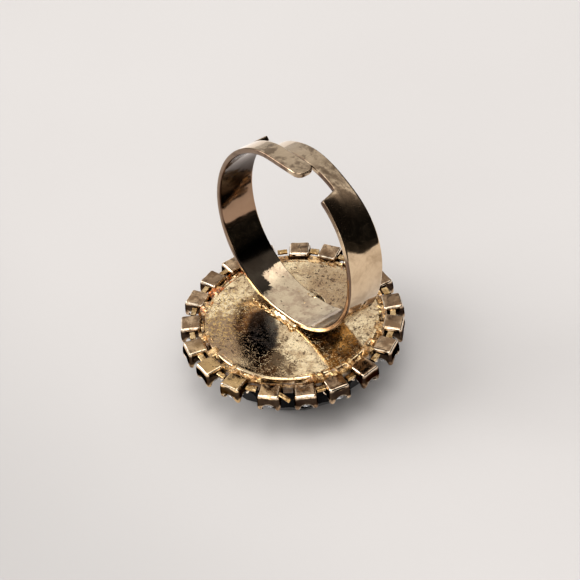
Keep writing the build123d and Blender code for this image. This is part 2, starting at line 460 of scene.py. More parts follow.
def foot_stain(place, ragged, facing):
    """Where the foot's inner left end is stained black, up to a ragged border."""
    across = parts_of(place)
    high = step_map(add_to(ragged, 0.8, across["Z"]), 8.05, 8.20)
    near = step_map(add_to(ragged, 2.4, across["Y"]), 1.95, 2.10, 1.0, 0.0)
    near = product(near, step_map(add_to(ragged, 0.8, across["Z"]), 7.3, 7.5))
    left = step_map(across["X"], -3.0, -3.6)
    low = step_map(across["Z"], 9.6, 10.6, 1.0, 0.0)
    inside = step_map(facing["Z"], 0.1, 0.3)
    return product(largest(high, near), left, low, inside)


def painted_arm_reflection(place, cloud, facing, colour):
    """Painted reflection: the left arm's inner face turns tan and then brown on its way up, in
    place of its reflection of the dark cups and plate.
    """
    across = parts_of(place)
    upright = step_map(facing["Z"], 0.55, 0.35)
    inner = step_map(facing["X"], 0.20, 0.40)
    left_arm = product(step_map(across["X"], -5.0, -6.0), upright, inner)
    tan = product(left_arm, step_map(across["Z"], 11.6, 12.4, 0.0, 0.85))
    colour = mix(tan, colour, arm_reflection_tan)
    slanted = maths("ADD", across["Z"], product(across["Y"], -0.62))
    brown = step_map(add_to(cloud, 1.4, slanted), 14.4, 15.3)
    fading = step_map(across["Z"], 18.5, 21.0, 0.93, 0.62)
    return mix(product(brown, fading, left_arm), colour, arm_reflection_brown)


def darkened_near_edge(place, cloud, ragged, facing, colour):
    """The near edge of the strip painted darker, except at the foot, the right step and the left
    tip.
    """
    across = parts_of(place)
    near = step_map(facing["Y"], -0.2, -0.5)
    left = product(step_map(across["X"], 0.9, 0.3), 0.85)
    below_step = step_map(add_to(cloud, 1.0, across["Z"]), 19.6, 18.8)
    right = product(below_step, step_map(across["X"], 4.0, 5.5))
    tongue_side = step_map(across["X"], 2.2, 2.6)
    tongue = product(tongue_side, step_map(across["Z"], 22.3, 22.8))
    above_foot = step_map(add_to(ragged, 1.0, across["Z"]), 8.6, 9.4)
    darkening = product(largest(left, right, tongue), near, above_foot)
    return cover(colour, darkening, 0.9, near_edge_dark)


def band_plating():
    """Polished warm nickel: cream at the foot, worn on the tongues, stained and scratched, with a
    painted reflection on the left arm's inner face and painted shade on the foot.
    """
    material, tree = start_material("band_plating")
    place = millimetres(tree)
    height = parts_of(place)["Z"]
    facing = parts_of(add(tree, "NewGeometry").outputs["Normal"])
    cloud = noise_map(place, 2.2, 5, 0.6, 0.8)
    ragged = noise_map(place, 0.7, 7, 0.75, 0.5)
    colour = mix(step_map(cloud, 0.40, 0.66), nickel, dull_nickel)
    foot = step_map(add_to(cloud, 1.6, height), plate_top + 2.2, plate_top + 3.6, 1.0, 0.0)
    clouds = step_map(noise_map(place, 1.3, 6, 0.7), 0.42, 0.60)
    colour = cover(colour, foot, 0.9, mix(clouds, cream, dull_cream))
    colour, worn, smudge = worn_tongues(place, cloud, colour)
    # painted reflection of the dark cups and plate on the left arm's inner face
    colour = painted_arm_reflection(place, cloud, facing, colour)
    # painted shade: a dark patch on the inner face of the foot at its right end
    shaded = spot(place, (4.7, 2.1, 7.6), (2.2, 4.0, 1.9))
    inside = step_map(facing["Z"], 0.1, 0.3)
    colour = cover(colour, product(shaded, inside), 0.75, painted_foot_shade)
    colour = darkened_near_edge(place, cloud, ragged, facing, colour)
    flecks = step_map(noise_map(place, 0.5, 5, 0.7), 0.61, 0.66)
    stain = largest(foot_stain(place, ragged, facing), product(flecks, foot, 0.85))
    colour = cover(colour, stain, 0.95, tar_black)
    stretched = add(tree, "Mapping", {"Vector": place, "Scale": (9.0, 1.2, 9.0)}).outputs["Vector"]
    scratches = step_map(noise_map(stretched, 1.0, 2, 0.5), 0.66, 0.72)
    rough = add_to(cloud, 0.10, 0.035)
    for blemish, amount in ((scratches, 0.06), (smudge, 0.14), (worn, 0.03), (stain, 0.05)):
        rough = maths("ADD", rough, product(blemish, amount))
    ripple = noise_map(place, 1.6, 2, 0.4)
    grain = product(noise_map(place, 0.07, 3), 0.03)
    dusty = step_map(noise_map(place, 0.6, 7, 0.8), 0.42, 0.62, 0.993, 0.965)
    finish_material(tree, colour, dusty, rough, maths("ADD", ripple, grain), 0.02)
    return material


def darker_plate_zones(place, ragged, down, left):
    """Where the plate is painted darker: its left part up to a ragged border, a painted reflection
    of something dark, and its far side.
    """
    darker = step_map(add_to(ragged, 0.8, down), -1.25, -0.95)
    darker = product(darker, step_map(add_to(ragged, 1.0, left), 2.5, 3.6))
    x = parts_of(place)["X"]
    darker = product(darker, step_map(add_to(ragged, 1.0, x), -0.2, 1.6, 1.0, 0.4))
    return largest(darker, product(plate_spot(place, 0.5, 6.0, 7.0, 4.5), 0.8))


def corroded(place):
    """Corroded specks, which crowd together in four patches of the plate."""
    cloud = noise_map(place, 0.8, 9, 0.8, 0.8)
    near_right = plate_spot(place, 4.4, -5.0, 2.6, 2.1)
    right = product(plate_spot(place, 6.4, 0.6, 3.2, 2.6), 0.75)
    left = plate_spot(place, -3.8, -0.6, 1.7, 1.5)
    near = product(plate_spot(place, 0.8, -3.7, 3.6, 2.1), 0.9)
    limit = add_to(largest(near_right, right, left, near), -0.17, 0.615)
    return step_map(maths("SUBTRACT", cloud, limit), 0.0, 0.05)


def fine_curls(place):
    """Thin curling lines at the plate's right."""
    curls = noise_map(place, 0.9, 5, 0.6, 1.6)
    ridge = maths("ABSOLUTE", maths("SUBTRACT", curls, 0.5))
    lines = step_map(ridge, 0.012, 0.028, 1.0, 0.0)
    return product(lines, plate_spot(place, 6.8, 3.2, 2.6, 2.6))


def plate_metal():
    """Champagne plating on soft metal: cream and gold grains, pits, and brown corroded patches."""
    material, tree = start_material("plate_metal")
    place = millimetres(tree)
    down = along(place, down_the_plate)
    left = along(place, left_on_plate)
    broad = noise_map(place, 2.2, 4, 0.6, 0.5)
    ragged = noise_map(place, 0.8, 6, 0.7)
    colour = mix(step_map(broad, 0.42, 0.60), champagne, dull_champagne)
    mottle = step_map(noise_map(place, 0.9, 7, 0.8), 0.46, 0.58)
    dull_side = plate_spot(place, -6.0, -4.0, 9.0, 9.0)
    colour = cover(colour, mottle, add_to(dull_side, 0.40, 0.46), mottle_brown)
    # painted reflection: the plate's left part is darker, and so is its far side
    colour = cover(colour, darker_plate_zones(place, ragged, down, left), 0.84, dark_zone_brown)
    grains = step_map(noise_map(place, 0.30, 5, 0.75), 0.48, 0.60)
    gold_side = plate_spot(place, -5.5, -5.0, 6.0, 5.5)
    golden = product(grains, add_to(gold_side, 0.65, 0.15))
    colour = mix(golden, colour, grain_gold)
    stains = corroded(place)
    colour = cover(colour, stains, 0.85, corroded_brown)
    turned = add(tree, "CombineXYZ", {"X": down, "Y": left}).outputs["Vector"]
    soot = spot(turned, (1.4, 3.0, 0.0), (4.3, 2.1, 1.0))
    soot = step_map(add_to(ragged, 0.9, soot), 0.55, 1.15)
    colour = cover(colour, soot, 0.9, soot_black)
    colour = cover(colour, fine_curls(place), 0.8, curl_brown)
    pits = step_map(noise_map(place, 0.42, 5, 0.7), 0.578, 0.61)
    fine_pits = step_map(noise_map(place, 0.20, 3, 0.6), 0.60, 0.64)
    pits = largest(pits, product(fine_pits, 0.8))
    colour = cover(colour, pits, 0.85, pit_brown)
    rough = add_to(broad, 0.06, 0.015)
    rough = maths("ADD", rough, product(stains, 0.25))
    rough = maths("ADD", rough, product(golden, 0.12))
    grain = noise_map(place, 0.25, 6, 0.7)
    height = maths("SUBTRACT", grain, product(pits, 1.5))
    finish_material(tree, colour, 1.0, rough, height, 0.006)
    return material


def glue():
    """Amber glue and flaking gold residue, blackened by grime specks and by painted shade down in
    the valley.
    """
    material, tree = start_material("amber_glue")
    place = millimetres(tree)
    cloud = noise_map(place, 0.8, 6, 0.7, 0.8)
    colour = mix(step_map(cloud, 0.40, 0.60), amber_brown, residue_gold)
    amber = spot(place, (-8.2, -1.0, plate_top), (4.5, 7.5, 5.0))
    patches = step_map(noise_map(place, 1.2, 4, 0.6), 0.46, 0.56)
    colour = cover(colour, product(amber, patches), 0.85, amber_red)
    sunk = add_to(cloud, 0.5, parts_of(place)["Z"])
    # painted shade: the glue turns black towards the bottom of the valley between the plate and the
    # cups
    deep = step_map(sunk, plate_top - 0.34, plate_top - 0.02, 1.0, 0.0)
    darkening = step_map(noise_map(place, 0.45, 6, 0.75), 0.50, 0.57)
    darkening = largest(product(darkening, 0.88), product(deep, 0.92))
    colour = mix(darkening, colour, glue_dirt_and_shade)
    metal = step_map(noise_map(place, 0.7, 4, 0.6), 0.42, 0.54)
    rough = add_to(darkening, 0.3, 0.10)
    relief = noise_map(place, 0.22, 6, 0.65)
    extra = {"Coat Weight": 0.5, "Coat Roughness": 0.05}
    finish_material(tree, colour, product(metal, 0.9), rough, relief, 0.03, extra)
    return material


def glass(name, colour, clearness, shine, dust, gloss=0.5):
    """Polished glass with faint rubbed marks and dust."""
    material, tree = start_material(name)
    place = millimetres(tree)
    haze = step_map(noise_map(place, 0.8, 5, 0.65), 0.50, 0.75)
    rough = add_to(haze, 0.08, shine)
    tone = cover(colour, haze, dust, dust_grey)
    height = noise_map(place, 0.25, 3, 0.6)
    extra = {"Transmission Weight": clearness, "IOR": 1.54, "Specular IOR Level": gloss}
    finish_material(tree, tone, 0.0, rough, height, 0.0006, extra)
    return material


def floor_material():
    """Pale matt paper, dimmed for the camera, with painted shade that darkens it towards the near
    side.
    For reflections it turns dark on the far right, like the room beyond the table."""
    material, tree = start_material("pale_paper")
    place = millimetres(tree)
    seen = add(tree, "LightPath").outputs["Is Camera Ray"]
    colour = mix(noise_map(place, 60.0, 3, 0.5), paper_shade, paper_light)
    near_side = parts_of(place)["Y"]
    # painted shade: for the camera the paper darkens towards the near side
    exposure = step_map(near_side, -40.0, -5.0, 0.50, 0.585)
    dimmed = add(tree, "VectorMath", {0: colour, "Scale": exposure}, operation="SCALE")
    colour = mix(seen, colour, dimmed.outputs["Vector"])
    fibre = noise_map(place, 0.8, 3, 0.5)
    relief = add(tree, "Bump", {"Height": fibre, "Distance": 0.01 * MM})
    paper = add(tree, "BsdfDiffuse", {"Color": colour, "Normal": relief.outputs["Normal"]})
    dark = add(tree, "BsdfDiffuse", {"Color": (*dark_room, 1)})
    reach = add(tree, "VectorMath", {0: place}, operation="LENGTH").outputs["Value"]
    far = step_map(reach, floor_bright_radius, floor_dark_radius)
    heading = add(tree, "VectorMath", {0: place}, operation="NORMALIZE").outputs["Vector"]
    to_dark_side = step_map(along(heading, floor_dark_side), 0.0, 0.25)
    share = product(far, to_dark_side, maths("SUBTRACT", 1.0, seen))
    blend = add(tree, "MixShader", {0: share})
    tree.links.new(paper.outputs["BSDF"], blend.inputs[1])
    tree.links.new(dark.outputs["BSDF"], blend.inputs[2])
    output = add(tree, "OutputMaterial")
    tree.links.new(blend.outputs["Shader"], output.inputs["Surface"])
    return material


# ---------------------------------------------------------------- shank


def band_line(side, length):
    """Middle line of the strip at a length from the foot's middle: (u, v, turn in radians)."""
    inner = left_radius if side < 0 else right_radius
    middle = inner + band_thickness / 2
    if length < flat_half:
        return side * length, -band_thickness / 2, 0.0
    turn = (length - flat_half) / middle
    last = left_turn if side < 0 else turn
    if turn <= last:
        return side * (flat_half + middle * sin(turn)), inner - middle * cos(turn), turn
    u = side * (flat_half + middle * sin(last))
    v = inner - middle * cos(last)
    tight = left_bend_radius + band_thickness / 2
    bent = min(pi - last, (turn - last) * middle / tight)
    u += side * tight * (sin(last + bent) - sin(last))
    v += tight * (cos(last) - cos(last + bent))
    rest = (turn - last) * middle - bent * tight
    if bent >= pi - last:
        u -= side * rest
    return u, v, last + bent


def band_drift(side, turn, w):
    """How far the real strip stands out from its true arc, from years of squeezing."""
    if side < 0:
        return 0.0
    round_hoop = degrees(turn)
    near_share = max(0.0, w / band_half)
    far_share = max(0.0, -w / band_half)
    lifted = smooth(88, 147, round_hoop) * (1 - smooth(147, 152, round_hoop))
    near = 0.5 * lifted * near_share**1.4
    far = -0.38 * bump(154, 22, round_hoop) * far_share
    side_dip = -0.18 * bump(78, 26, round_hoop) * far_share
    return near + far + side_dip


def band_point(side, flat):
    """From the flat strip (length, width, height above its middle sheet) to the bent one."""
    length, w, height = flat
    u, v, turn = band_line(side, max(length, 0.0))
    height += band_drift(side, turn, w)
    height += band_ripple * wobble((length, w, side * 5), 3.0) * smooth(0, 4, length)
    out_u, out_v = side * sin(turn), -cos(turn)
    middle = band_foot + band_u * (u + height * out_u) + band_v * (v + height * out_v)
    return middle + band_w * w


def between(start, end, spacing):
    """Evenly spaced points strictly between two others."""
    pieces = max(1, int((end - start).length / spacing))
    return [start + (end - start) * (k / pieces) for k in range(1, pieces)]


def rounded(corners, spacing):
    """Outline through (x, y, radius) corners, with arcs in the corners and evenly spaced points."""
    outline = []
    count = len(corners)
    for i in range(count):
        before = Vector(corners[i - 1][:2])
        here = Vector(corners[i][:2])
        after = Vector(corners[(i + 1) % count][:2])
        radius = corners[i][2]
        to_before = (before - here).normalized()
        to_after = (after - here).normalized()
        half = to_before.angle(to_after) / 2
        setback = radius * cos(half) / sin(half)
        first, last = here + to_before * setback, here + to_after * setback
        if outline:
            outline += between(outline[-1], first, spacing)
        centre = here + (to_before + to_after).normalized() * (radius / sin(half))
        bits = max(3, int((pi - 2 * half) * radius / spacing * 2))
        a, b = first - centre, last - centre
        sweep = a.angle_signed(b)
        for k in range(bits + 1):
            outline.append(centre + Matrix.Rotation(-sweep * k / bits, 2) @ a)
    return outline + between(outline[-1], outline[0], spacing)


def inset(outline, distance):
    """The outline moved inwards; it runs anticlockwise."""
    moved = []
    count = len(outline)
    for i in range(count):
        along = (outline[(i + 1) % count] - outline[i - 1]).normalized()
        moved.append(outline[i] + Vector((-along.y, along.x)) * distance)
    return moved


def strip_outline(side):
    """Flat pattern of half the strip, from beyond the foot's middle to its tongue's tip."""
    middle = (left_radius if side < 0 else right_radius) + band_thickness / 2
    step = flat_half + middle * radians(left_step if side < 0 else right_step)
    slant = tan(radians(step_slant)) * band_half
    if side < 0:
        tight = left_bend_radius + band_thickness / 2
        tip = flat_half + middle * left_turn + tight * (pi - left_turn) + left_straight
    else:
        tip = flat_half + middle * radians(right_tip)
    hand = -side
    corners = [
        (-foot_overlap, -hand * band_half, plain_corner),
        (step, -hand * band_half, step_corner),
        (step + slant, hand * tongue_gap / 2, notch_corner),
        (tip, hand * tongue_gap / 2, tongue_corner),
        (tip, hand * band_half, tongue_corner),
        (-foot_overlap, hand * band_half, plain_corner),
    ]
    if hand < 0:
        corners.reverse()
    return rounded(corners, 0.16)


def strip_rings(outline):
    """Outlines of the strip's rounded rim, from its outer face to its inner one."""
    flat_side = band_thickness / 2 - band_edge
    arcs = 5
    rim = []
    for k in range(arcs + 1):
        turn = pi / 2 * (1 - k / arcs)
        rim.append((band_edge * (1 - cos(turn)), -flat_side - band_edge * sin(turn)))
    rim += [(d, -h) for d, h in reversed(rim)]
    return [[Vector((p.x, p.y, h)) for p in inset(outline, d)] for d, h in rim]


def face_grid(border):
    """Triangles that fill a border, over an even grid: points, triangles and their sources."""
    low_x, high_x = min(p.x for p in border), max(p.x for p in border)
    grid = [p.xy for p in border]
    columns = int((high_x - low_x) / grid_spacing)
    rows = 16
    for i in range(1, columns):
        x = low_x + (high_x - low_x) * i / columns
        for k in range(1, rows):
            w = -band_half + 2 * band_half * k / rows
            if nearest_inside(border, x, w) > 0.08:
                grid.append(Vector((x, w)))
    border_face = [list(range(len(border)))]
    made, _, triangles, source, _, _ = delaunay_2d_cdt(grid, [], border_face, 1, 1e-5)
    return made, triangles, source


def make_strip(side, name, material):
    """Half the shank: a flat pattern with a rounded rim, bent round the hoop and blended."""
    rings = strip_rings(strip_outline(side))
    points, faces = loft(rings, cap=False)
    count = len(rings[-1])
    made, triangles, source = face_grid(rings[-1])
    for ring, flip in ((len(rings) - 1, False), (0, True)):
        height = rings[ring][0].z
        index = []
        for p, origin in zip(made, source):
            edge = [i for i in origin if i < count]
            if edge:
                index.append(ring * count + edge[0])
            else:
                index.append(len(points))
                points.append(Vector((p.x, p.y, height)))
        for triangle in triangles:
            face = [index[i] for i in triangle]
            faces.append(tuple(reversed(face)) if flip else tuple(face))
    points, faces = cut_at_middle(points, faces)
    bent = [band_point(side, p) for p in points]
    if side < 0:
        faces = [tuple(reversed(f)) for f in faces]
    piece = add_piece(name, bent, faces, material, body=None)
    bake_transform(piece)
    return piece


def nearest_inside(outline, x, y):
    """Distance from a point inside the outline to its border, or -1 outside it."""
    inside = False
    best = 1e9
    count = len(outline)
    for i in range(count):
        a, b = outline[i], outline[(i + 1) % count]
        if (a.y > y) != (b.y > y) and x < (b.x - a.x) * (y - a.y) / (b.y - a.y) + a.x:
            inside = not inside
        best = min(best, hypot(a.x - x, a.y - y))
    return best if inside else -1


def cut_at_middle(points, faces):
    """Cuts a flat half strip at length 0 and closes the cut."""
    work = bmesh.new()
    made = [work.verts.new(p) for p in points]
    for face in faces:
        work.faces.new([made[i] for i in face])
    everything = work.verts[:] + work.edges[:] + work.faces[:]
    cut = bmesh.ops.bisect_plane(
        work, geom=everything, plane_co=(0, 0, 0), plane_no=(1, 0, 0), clear_inner=True
    )
    edges = [e for e in cut["geom_cut"] if isinstance(e, bmesh.types.BMEdge)]
    bmesh.ops.holes_fill(work, edges=edges, sides=0)
    work.verts.index_update()
    new_points = [v.co.copy() for v in work.verts]
    new_faces = [tuple(v.index for v in f.verts) for f in work.faces]
    work.free()
    return new_points, new_faces


# ---------------------------------------------------------------- plate, solder, glue


def make_plate(material):
    """The back plate: a soft disc that was never quite flat, with a rolled edge."""
    edge = 0.24
    arcs = 6
    rows = 44
    segments = 240
    dish = 0.02                 # how far the top sags below the rim
    top, bottom = plate_top, plate_bottom
    flat = plate_radius - edge
    profile = [(plate_radius * f, bottom) for f in (0.5, 0.9)]
    for k in range(arcs + 1):
        turn = pi / 2 * k / arcs
        profile.append((flat + edge * sin(turn), bottom + edge - edge * cos(turn)))
    for k in range(arcs + 1):
        turn = pi / 2 * k / arcs
        profile.append((flat + edge * cos(turn), top - edge + edge * sin(turn)))
    profile += [(flat * (1 - k / rows), top) for k in range(1, rows)]
    points, faces = [], []
    for step in range(segments):
        angle = tau * step / segments
        for radius, height in profile:
            x, y = radius * cos(angle), radius * sin(angle)
            if height > (top + bottom) / 2:
                sag = 0.016 * wobble((x, y, 0), 3.5) + 0.007 * wobble((x, y, 4), 1.1)
                height += (sag - dish) * smooth(0, 0.6, plate_radius - radius)
            points.append((x, y, height))
    count = len(profile)
    bottom_middle, top_middle = len(points), len(points) + 1
    points += [(0, 0, bottom), (0, 0, top - dish)]
    for step in range(segments):
        here, there = step * count, (step + 1) % segments * count
        for i in range(count - 1):
            faces.append((here + i, there + i, there + i + 1, here + i + 1))
        faces.append((bottom_middle, there, here))
        faces.append((top_middle, here + count - 1, there + count - 1))
    return add_piece("plate", points, faces, material, "head", ["back_plate"])


def make_solder(material):
    """A lumpy pool of solder that stands up along the long edges of the strip's foot."""
    low, high = frame_box("shank_solder")
    centre = (low + high) / 2
    reach_u, reach_w = (high.x - low.x) / 2 + 0.1, (high.y - low.y) / 2 + 0.1
    columns, rows = 120, 26
    rings = []
    for row in range(rows + 1):
        share = 1 - row / rows
        ring = []
        for i in range(columns):
            angle = tau * i / columns
            ragged = 1 + 0.10 * wobble((cos(angle) * 3, sin(angle) * 3, 9), 0.9)
            x = reach_u * share * ragged * cos(angle)
            y = reach_w * share * ragged * sin(angle)
            beside = abs(y) - band_half
            height = 0.33 * smooth(1.0, 0.72, share) * exp(-max(0.0, beside) / 0.5)
            lumps = 0.20 * max(0.0, wobble((x, y, 2), 0.5)) + 0.07 * wobble((x, y, 6), 0.2)
            height = max(0.0, height * (1 + 1.2 * lumps) + lumps * smooth(1.0, 0.8, share))
            ring.append(Vector((centre.x + x, centre.y + y, plate_top - 0.03 + height)))
        rings.append(ring)
    rings = [[Vector((p.x, p.y, plate_top - 0.06)) for p in rings[0]]] + rings[:-1]
    points, faces = loft(rings)
    return add_piece("solder", points, faces, material, stands_for=["shank_solder"])


def make_beads(material):
    """Little drops of gilded solder in a row along the near edge of the strip's foot."""
    low, high = frame_box("shank_solder")
    middle = (low + high) / 2
    chance = random.Random(7)
    rows, columns = 8, 14
    points, faces = [], []
    reached = beads_from
    while reached < beads_to:
        size = chance.uniform(0.10, 0.19)
        near = middle.y - band_half - 0.30 - chance.uniform(0.0, 0.28)
        centre = Vector((reached, near, plate_top + 0.02 + 0.35 * size))
        wide, deep = chance.uniform(0.9, 1.5), chance.uniform(0.8, 1.1)
        tall = chance.uniform(0.7, 1.1)
        rings = []
        for row in range(1, rows):
            turn = pi * row / rows
            ring = []
            for k in range(columns):
                angle = tau * k / columns
                way = Vector((sin(turn) * cos(angle), sin(turn) * sin(angle), -cos(turn)))
                lump = size * (1 + 0.25 * wobble(centre + way * size, 0.25))
                ring.append(centre + Vector((way.x * wide, way.y * deep, way.z * tall)) * lump)
            rings.append(ring)
        join(points, faces, *loft(rings))
        reached += size * chance.uniform(0.9, 1.9)
    return add_piece("solder_beads", points, faces, material)


def rim_glue_ring(angle):
    """The glue's cross-section at an angle round the rim."""
    inner_overlap = 0.10
    outer = plate_radius + 0.66
    low = stone_high.z - 0.9
    rows = 9
    direction = Vector((cos(angle), sin(angle), 0))
    here = direction * plate_radius
    bare_rim = Vector((cos(bare_rim_angle), sin(bare_rim_angle))) * plate_radius
    over = smooth(-0.50, -0.15, wobble(here, 1.5, 11) + 0.5 * wobble(here, 0.4, 13))
    over *= 1 - bump(0.0, 2.2, hypot(here.x - bare_rim.x, here.y - bare_rim.y))
    inner = plate_radius - inner_overlap - 0.34 * over
    rise = 0.10 + 0.16 * wobble(here, 1.7, 3) + 0.10 * wobble(here, 0.5, 5)
    ring = [direction * inner + UP * low, direction * outer + UP * (low + 0.3)]
    for k in range(rows):
        share = k / (rows - 1)
        radius = outer + (inner - outer) * share
        valley = -0.60 * sin(pi * share) ** 1.2 * max(0.0, 0.26 + 2.0 * wobble(here, 1.1, 7))
        lumps = 0.13 * wobble(direction * radius, 0.30, 1) * sin(pi * min(1.0, share * 1.2))
        fall = 0.20 * (1 - share) + (0.10 - 0.085 * over) * smooth(0.75, 1.0, share)
        fall -= 0.10 * over * bump(0.78, 0.2, share)
        height = plate_top + rise * (1 - share) + valley + lumps - fall
        ring.append(direction * radius + UP * height)
    return ring


def make_rim_glue(material):
    """Glue between the plate's rim and the cups, smeared over the rim in most places."""
    segments = 720
    rings = [rim_glue_ring(-tau * k / segments) for k in range(segments)]
    points, faces = loft(rings, cap=False, closed=True)
    return add_piece("rim_glue", points, faces, material, "head", ["rim_adhesive"])


# ---------------------------------------------------------------- chain of cups


def mean_face(node, direction, limit):
    """Area-weighted mean normal and middle of a node's faces that look along direction."""
    mesh = frame["nodes"][node].data
    normal, middle, area = Vector(), Vector(), 0.0
    for polygon in mesh.polygons:
        if polygon.normal.dot(direction) > limit:
            normal += polygon.normal * polygon.area
            middle += polygon.center * polygon.area
            area += polygon.area
    return normal.normalized(), middle / area / MM


def cup_place(node):
    """Matrix from a cup's own axes (out, round the plate, to the finger) to the frame."""
    up, back = mean_face(node, UP, 0.985)
    outwards = Vector((back.x, back.y, 0)).normalized()
    out, _ = mean_face(node, outwards, 0.985)
    side = up.cross(out).normalized()
    out = side.cross(up)
    place = Matrix((out, side, up)).transposed().to_4x4()
    place.translation = back
    return place


def cup_outline(inset_by=0.0):
    """Points round a cup's rounded square: (x, y, diagonal, distance from the corner's middle)."""
    half_x, half_y = cup_deep / 2 - inset_by, cup_wide / 2 - inset_by
    round_by = max(0.04, cup_corner - inset_by)
    corner_bits, side_bits = 6, 12
    points = []
    for quarter in range(4):
        start = pi / 2 * quarter
        sx = 1 if quarter in (0, 3) else -1
        sy = 1 if quarter in (0, 1) else -1
        centre = Vector((sx * (half_x - round_by), sy * (half_y - round_by)))
        diagonal = Vector((sx, sy)).normalized()
        for k in range(corner_bits):
            turn = start + pi / 2 * k / (corner_bits - 1)
            point = centre + Vector((cos(turn), sin(turn))) * round_by
            away = (k / (corner_bits - 1) - 0.5) * pi / 2 * cup_corner
            points.append((point, diagonal, away))
        span = (half_x if quarter in (0, 2) else half_y) - round_by
        last = points[-1][0]
        heading = Vector((-sin(start + pi / 2), cos(start + pi / 2)))
        arc = pi / 4 * cup_corner
        for k in range(1, side_bits):
            go = 2 * span * k / side_bits
            near_first = go < span
            next_diagonal = Vector((-diagonal.y, diagonal.x))
            away = arc + (go if near_first else 2 * span - go)
            points.append((last + heading * go, diagonal if near_first else next_diagonal, away))
    return points


def make_cup(index, node, material):
    """A pressed cup: slightly crowned back, arched walls, and four claws bent over the stone."""
    chance = random.Random(index)
    place = cup_place(node)
    claws = [claw_length * chance.uniform(0.85, 1.12) for _ in range(4)]
    bends = [radians(chance.uniform(52, 80)) for _ in range(4)]
    dent = Vector((chance.uniform(-0.6, 0.6), chance.uniform(-0.6, 0.6)))
    outer = cup_outline()
    inner = cup_outline(cup_back_edge)
    rings, down, rubbed = [], [], []
    for share in (0.12, 0.4, 0.7, 0.92):
        down += [0.0] * len(outer)
        rubbed += [0.0] * len(outer)
        ring = []
        for point, _, _ in inner:
            flat = (point - point.normalized() * 0.6 * cup_flare) * share
            crown = 0.05 * (1 - share * share)
            crown -= 0.05 * exp(-((flat - dent).length / 0.4) ** 2)
            ring.append(Vector((flat.x, flat.y, crown)))
        rings.append(ring)
    edge_bits = 4
    for k in range(edge_bits + 1):
        turn = pi / 2 * k / edge_bits
        down += [0.0] * len(outer)
        # painted highlight along the rounded back edge
        rubbed += [bump(0.62, 0.30, k / edge_bits)] * len(outer)
        ring = []
        for (low, _, _), (high, _, _) in zip(inner, outer):
            flat = low + (high - low) * sin(turn)
            flat -= flat.normalized() * 0.6 * cup_flare
            ring.append(Vector((flat.x, flat.y, -cup_back_edge * (1 - cos(turn)))))
        rings.append(ring)
    rows = 10
    for row in range(1, rows + 1):
        ring = []
        for point, diagonal, away in outer:
            quarter = (0 if diagonal.x > 0 else 1) + (0 if diagonal.y > 0 else 2)
            side = min(abs(point.x), abs(point.y))
            length = cup_height
            if side < arch_radius:
                length = cup_height + arch_drop - sqrt(arch_radius**2 - side**2)
            if abs(away) < claw_half:
                length += claws[quarter] * (1 - (away / claw_half) ** 4)
            run = cup_back_edge + (length - cup_back_edge) * row / rows
            beyond = max(0.0, run - cup_height)
            turn = min(bends[quarter], beyond / claw_curl)
            straight = max(0.0, beyond - bends[quarter] * claw_curl)
            inwards = claw_curl * (1 - cos(turn)) + straight * sin(turn)
            drop = min(run, cup_height) + claw_curl * sin(turn) + straight * cos(turn)
            spread = cup_flare * (1 - exp(-run / 0.55)) - 0.6 * cup_flare
            flat = point + point.normalized() * spread - diagonal * inwards
            bulge = 0.02 * wobble((flat.x, flat.y, drop), 0.9, index)
            ring.append(Vector((flat.x * (1 + bulge), flat.y * (1 + bulge), -drop)))
            down.append(run / cup_height)
            # painted highlight along the lip
            rubbed.append(smooth(0.86, 1.0, row / rows))
        rings.append(ring)
    points, faces = loft(rings, cap=False)
    faces = [tuple(reversed(f)) for f in faces] + [tuple(range(len(outer)))]
    points = [place @ p for p in points]
    name = node.replace("cup_", "stone_cup_")
    cup = add_piece(name, points, faces, material, stands_for=[node])
    paint(cup, "down_the_wall", down)
    paint(cup, "edge_highlight", rubbed)
    sheet = cup.modifiers.new("sheet", "SOLIDIFY")
    sheet.thickness = cup_sheet * MM
    sheet.offset = -1
    soft = cup.modifiers.new("soft lips", "SUBSURF")
    soft.levels = 1
    soft.render_levels = 1
    return cup


def bar(stations, width, height, round_by=0.08):
    """Rings of a bar with rounded corners through stations of (middle, across, up)."""
    rings = []
    for middle, across, up in stations:
        ring = []
        for quarter in range(4):
            sx = 1 if quarter in (0, 3) else -1
            sy = 1 if quarter in (0, 1) else -1
            for k in range(4):
                turn = pi / 2 * (quarter + k / 3)
                x = sx * (width / 2 - round_by) + round_by * cos(turn)
                y = sy * (height / 2 - round_by) + round_by * sin(turn)
                ring.append(middle + across * x + up * y)
        rings.append(ring)
    return rings[::-1]


def make_links(places, material):
    """Flat bars from cup to cup, none across the seam."""
    points, faces = [], []
    for number, place in enumerate(places):
        if number == seam_after:
            continue
        following = places[(number + 1) % len(places)]
        here = place @ Vector((0.05, 0, -link_drop))
        there = following @ Vector((0.05, 0, -link_drop))
        along = (there - here).normalized()
        up = (place.col[2].xyz + following.col[2].xyz).normalized()
        across = along.cross(up).normalized()
        chance = random.Random(100 + number)
        stations = []
        for k in range(9):
            share = k / 8
            middle = here.lerp(there, 0.36 + 0.28 * share)
            middle += up * 0.04 * sin(pi * share) * chance.uniform(-1, 1)
            stations.append((middle, across, up))
        wide = 0.62 + 0.12 * chance.uniform(-1, 1)
        join(points, faces, *loft(bar(stations, wide, link_thick, 0.1)))
    return add_piece("links", points, faces, material, "head", ["chain_links"])


